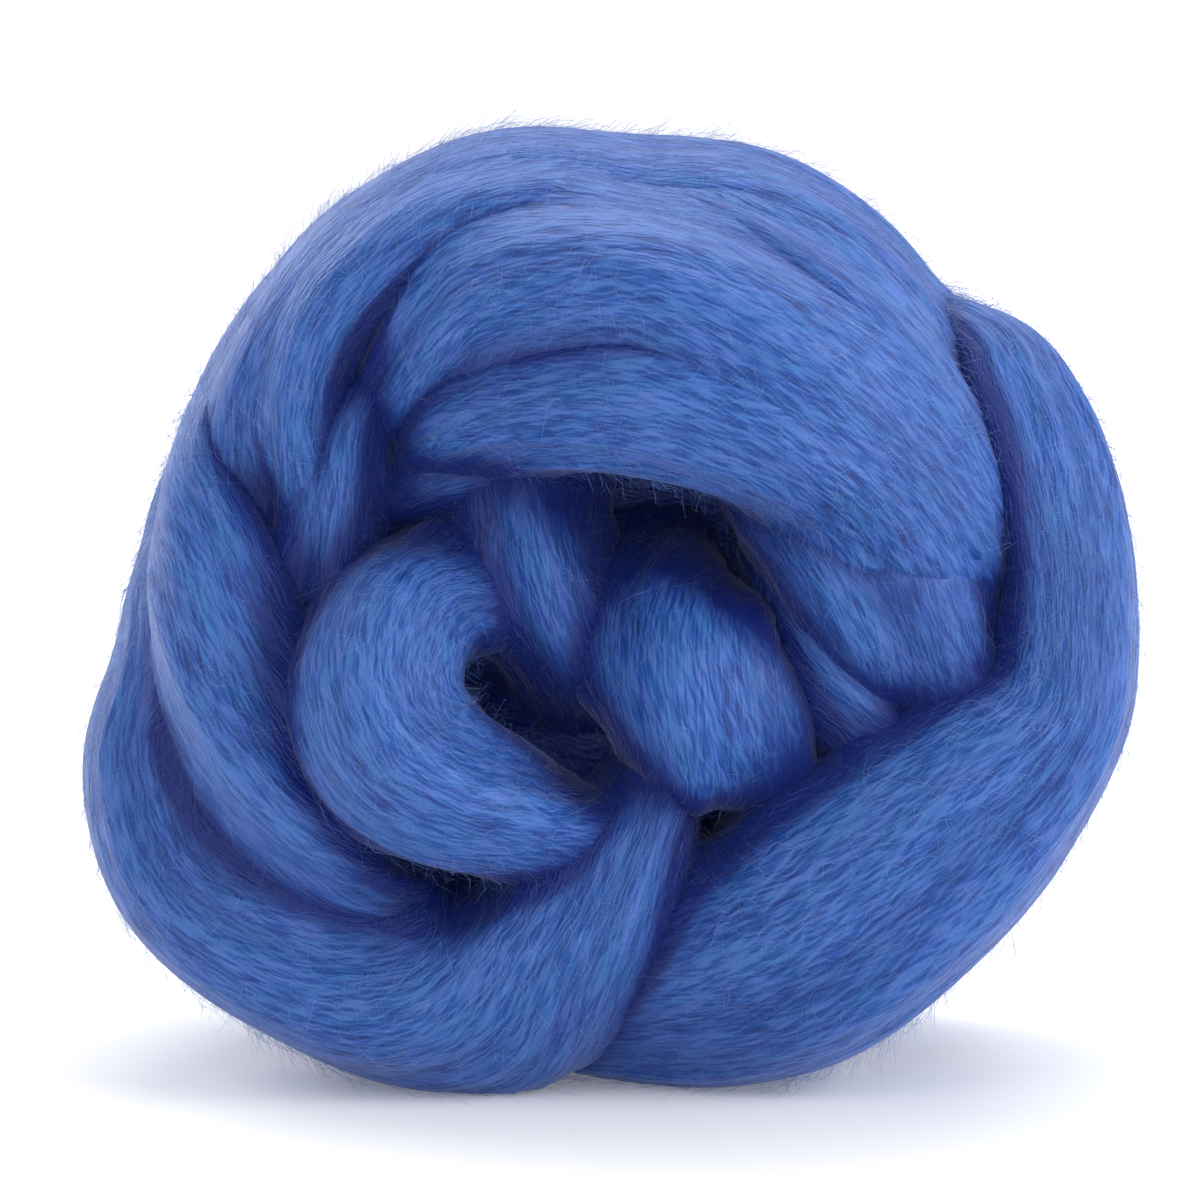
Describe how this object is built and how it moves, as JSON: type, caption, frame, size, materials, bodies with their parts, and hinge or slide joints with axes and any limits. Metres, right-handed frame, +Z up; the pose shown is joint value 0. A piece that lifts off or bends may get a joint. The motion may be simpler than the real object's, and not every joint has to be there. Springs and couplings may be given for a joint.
{
  "type": "wool roving ball",
  "caption": "Combed wool sliver wound loosely by hand into a soft ball of overlapping twisted turns, resting on a flattened underside.",
  "frame": {"origin": "middle of the flattened underside, on the surface that the ball stands on", "axes": "+Z up; +X to the right across the widest side; +Y away from the side that shows the swirl of turns"},
  "size_m": [0.1476, 0.114, 0.1335],
  "materials": {
    "dyed_wool": "soft combed fibre, slightly lustrous"
  },
  "bodies": {
    "root": {"roving": "dyed_wool"}
  },
  "joints": []
}
